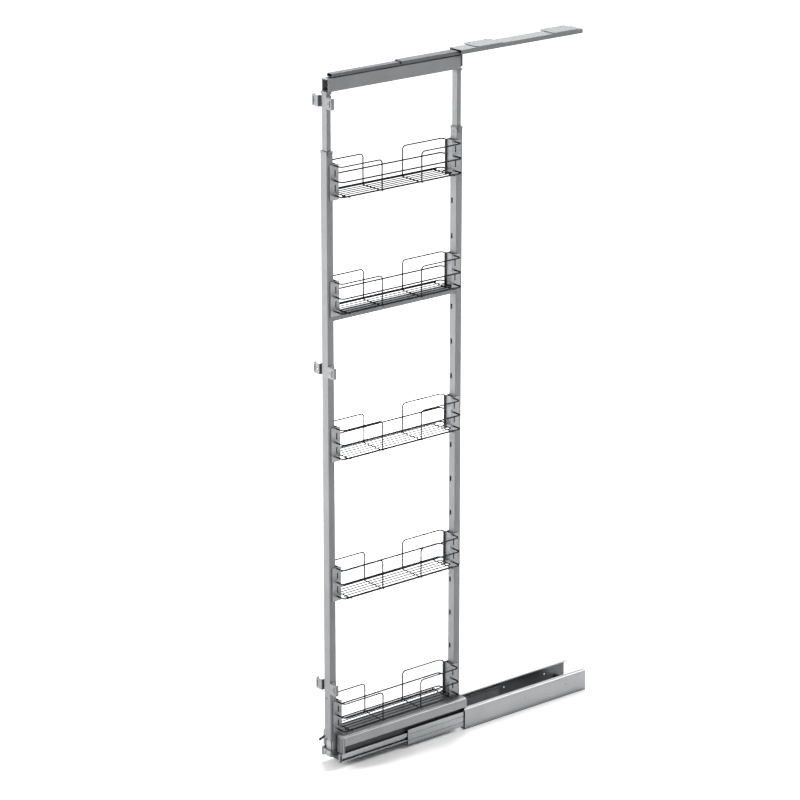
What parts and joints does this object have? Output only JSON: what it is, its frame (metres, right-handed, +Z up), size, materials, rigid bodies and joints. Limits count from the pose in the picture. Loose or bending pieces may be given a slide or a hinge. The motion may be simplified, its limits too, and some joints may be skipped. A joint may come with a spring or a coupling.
{
  "type": "pull-out larder unit",
  "caption": "Tall narrow pull-out larder frame with wire baskets hung between two uprights, a telescopic top bar, door brackets, and floor and ceiling runners for a kitchen cabinet.",
  "frame": {"origin": "on the cabinet floor, on the centre line, midway between the two front fixing holes of the runner housing", "axes": "+X to the right for someone facing the unit from the room, +Y from the room into the cabinet, +Z up"},
  "size_m": [0.103, 1.0056, 2.114],
  "materials": {
    "zinc_plate": "zinc plated, satin",
    "housing_steel": "silver-grey powder coat, satin",
    "slide_steel": "zinc plated, satin, drawn lengthwise",
    "cage_steel": "bright steel strip and balls",
    "screw_zinc": "bright zinc plated",
    "frame_paint": "silver-grey powder coat, satin",
    "bracket_steel": "silver-grey powder coat, satin",
    "hanger_steel": "zinc plated, satin",
    "foot_cast": "die-cast, matte",
    "chrome_wire": "polished chrome plate",
    "pale_plastic": "moulded, light grey",
    "dark_plastic": "moulded, dark grey",
    "dark_slide": "dark zinc plated, satin",
    "ceiling_steel": "zinc plated, satin",
    "black_rubber": "matte"
  },
  "bodies": {
    "cabinet_parts": {"base_plate": "zinc_plate", "housing_side_left": "housing_steel", "housing_side_right": "housing_steel", "housing_buffers": "black_rubber"},
    "middle_runners": {"middle_runner_left": "slide_steel", "middle_runner_right": "slide_steel"},
    "outer_cages": {"outer_ball_cages": "cage_steel"},
    "inner_cages": {"inner_ball_cages": "cage_steel"},
    "pull_out_frame": {"inner_runner_left": "slide_steel", "inner_runner_right": "slide_steel", "runner_rivets": "screw_zinc", "runner_tips": "pale_plastic", "carriage": "frame_paint", "carriage_cap": "pale_plastic", "cross_member": "dark_plastic", "upright_foot": "foot_cast", "foot_screws": "screw_zinc", "front_upright": "frame_paint", "rear_upright": "frame_paint", "cross_bar": "frame_paint", "cross_bar_screws": "screw_zinc", "front_collar": "pale_plastic", "rear_collar": "pale_plastic", "height_screws": "screw_zinc", "lower_door_brackets": "bracket_steel", "middle_door_brackets": "bracket_steel", "door_bracket_screws": "screw_zinc", "lever_pin": "screw_zinc"},
    "lever": {"release_lever": "dark_plastic"},
    "upper_frame": {"front_inner_tube": "frame_paint", "rear_inner_tube": "frame_paint", "corner_clips": "pale_plastic", "top_bar": "frame_paint", "top_inner_rail": "dark_slide", "top_end_stop": "dark_plastic", "upper_door_brackets": "bracket_steel", "upper_bracket_screws": "screw_zinc"},
    "ceiling_guide": {"top_outer_rail": "dark_slide", "ceiling_rail": "ceiling_steel", "mounting_plates": "ceiling_steel"},
    "top_middle_slide": {"top_middle_rail": "dark_slide"},
    "top_outer_cage": {"top_outer_ball_cage": "cage_steel"},
    "top_inner_cage": {"top_inner_ball_cage": "cage_steel"},
    "basket_1_unit": {"basket_1": "chrome_wire", "basket_1_floor": "chrome_wire", "basket_1_brackets": "hanger_steel"},
    "basket_2_unit": {"basket_2": "chrome_wire", "basket_2_floor": "chrome_wire", "basket_2_brackets": "hanger_steel"},
    "basket_3_unit": {"basket_3": "chrome_wire", "basket_3_floor": "chrome_wire", "basket_3_brackets": "hanger_steel"},
    "basket_4_unit": {"basket_4": "chrome_wire", "basket_4_floor": "chrome_wire", "basket_4_brackets": "hanger_steel"},
    "basket_5_unit": {"basket_5": "chrome_wire", "basket_5_floor": "chrome_wire", "basket_5_brackets": "hanger_steel"}
  },
  "joints": [
    {"name": "frame_pull", "type": "slide", "parent": "cabinet_parts", "child": "pull_out_frame", "axis": [0, 1, 0], "range_m": [0, 0.464]},
    {"name": "middle_runner_slide", "type": "slide", "parent": "cabinet_parts", "child": "middle_runners", "axis": [0, 1, 0], "range_m": [0, 0.232]},
    {"name": "outer_cage_slide", "type": "slide", "parent": "cabinet_parts", "child": "outer_cages", "axis": [0, 1, 0], "range_m": [0, 0.116]},
    {"name": "inner_cage_slide", "type": "slide", "parent": "cabinet_parts", "child": "inner_cages", "axis": [0, 1, 0], "range_m": [0, 0.348]},
    {"name": "height_setting", "type": "slide", "parent": "pull_out_frame", "child": "upper_frame", "axis": [0, 0, 1], "range_m": [-0.11, 0.04]},
    {"name": "lever_release", "type": "hinge", "parent": "pull_out_frame", "child": "lever", "pos_m": [-0.0175, -0.517, 0.096], "axis": [1, 0, 0], "range_deg": [0, 20], "stiffness_Nm_per_rad": 0.02, "springref_deg": -17.19},
    {"name": "ceiling_height", "type": "slide", "parent": "cabinet_parts", "child": "ceiling_guide", "axis": [0, 0, 1], "range_m": [-0.11, 0.04]},
    {"name": "top_middle_slide", "type": "slide", "parent": "ceiling_guide", "child": "top_middle_slide", "axis": [0, 1, 0], "range_m": [0, 0.232]},
    {"name": "top_outer_cage_slide", "type": "slide", "parent": "ceiling_guide", "child": "top_outer_cage", "axis": [0, 1, 0], "range_m": [0, 0.116]},
    {"name": "top_inner_cage_slide", "type": "slide", "parent": "ceiling_guide", "child": "top_inner_cage", "axis": [0, 1, 0], "range_m": [0, 0.348]},
    {"name": "basket_1_lift", "type": "slide", "parent": "pull_out_frame", "child": "basket_1_unit", "axis": [0, 0, 1], "range_m": [0, 0.008]},
    {"name": "basket_2_lift", "type": "slide", "parent": "pull_out_frame", "child": "basket_2_unit", "axis": [0, 0, 1], "range_m": [0, 0.008]},
    {"name": "basket_3_lift", "type": "slide", "parent": "pull_out_frame", "child": "basket_3_unit", "axis": [0, 0, 1], "range_m": [0, 0.008]},
    {"name": "basket_4_lift", "type": "slide", "parent": "pull_out_frame", "child": "basket_4_unit", "axis": [0, 0, 1], "range_m": [0, 0.008]},
    {"name": "basket_5_lift", "type": "slide", "parent": "pull_out_frame", "child": "basket_5_unit", "axis": [0, 0, 1], "range_m": [0, 0.008]}
  ],
  "couplings": [
    {"joint": "middle_runner_slide", "follows": "frame_pull", "ratio": 0.5},
    {"joint": "outer_cage_slide", "follows": "frame_pull", "ratio": 0.25},
    {"joint": "inner_cage_slide", "follows": "frame_pull", "ratio": 0.75},
    {"joint": "top_middle_slide", "follows": "frame_pull", "ratio": 0.5},
    {"joint": "top_outer_cage_slide", "follows": "frame_pull", "ratio": 0.25},
    {"joint": "top_inner_cage_slide", "follows": "frame_pull", "ratio": 0.75},
    {"joint": "ceiling_height", "follows": "height_setting", "ratio": 1}
  ]
}
